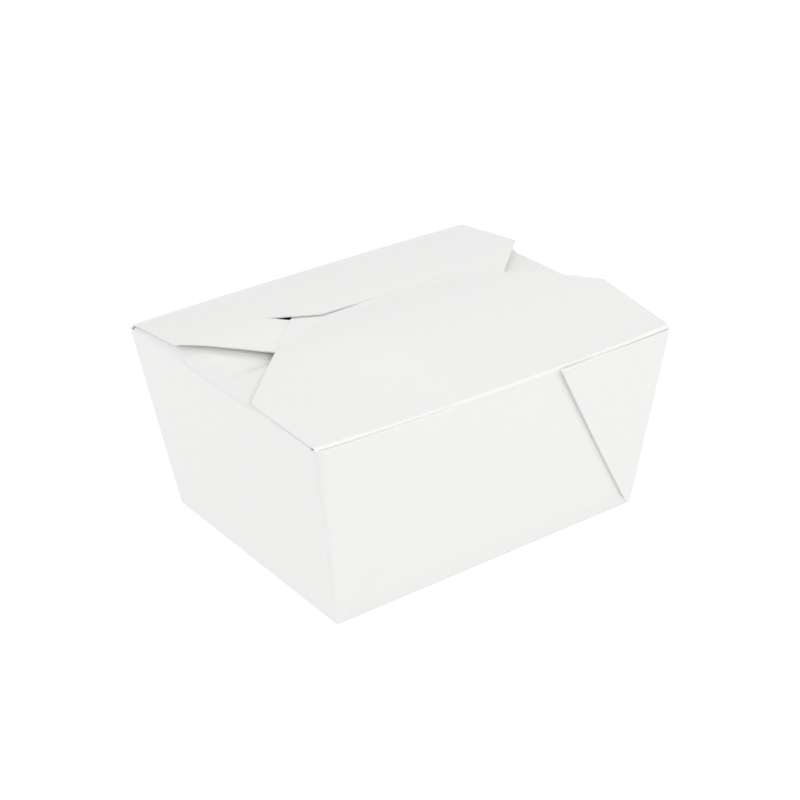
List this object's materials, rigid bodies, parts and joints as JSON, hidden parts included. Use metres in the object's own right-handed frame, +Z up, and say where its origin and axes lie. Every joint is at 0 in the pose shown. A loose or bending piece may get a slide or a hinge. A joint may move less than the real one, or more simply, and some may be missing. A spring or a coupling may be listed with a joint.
{
  "type": "takeout food box",
  "caption": "Folded paperboard takeout food box with webbed corners, tapered walls and a lid of overlapping flaps closed by a tongue in a slit.",
  "frame": {"origin": "middle of the underside of the base", "axes": "+X along the box, +Y towards the back wall whose flap has the slit, +Z up"},
  "size_m": [0.13, 0.1078, 0.0701],
  "materials": {
    "carton_board": "smooth white coated board, slight gloss"
  },
  "bodies": {
    "carton": {"carton_body": "carton_board"},
    "lid": {"front_flap": "carton_board"}
  },
  "joints": [
    {"name": "front_flap_crease", "type": "hinge", "parent": "carton", "child": "lid", "pos_m": [0, -0.05258, 0.06327], "axis": [1, 0, 0], "range_deg": [0, 170]}
  ]
}
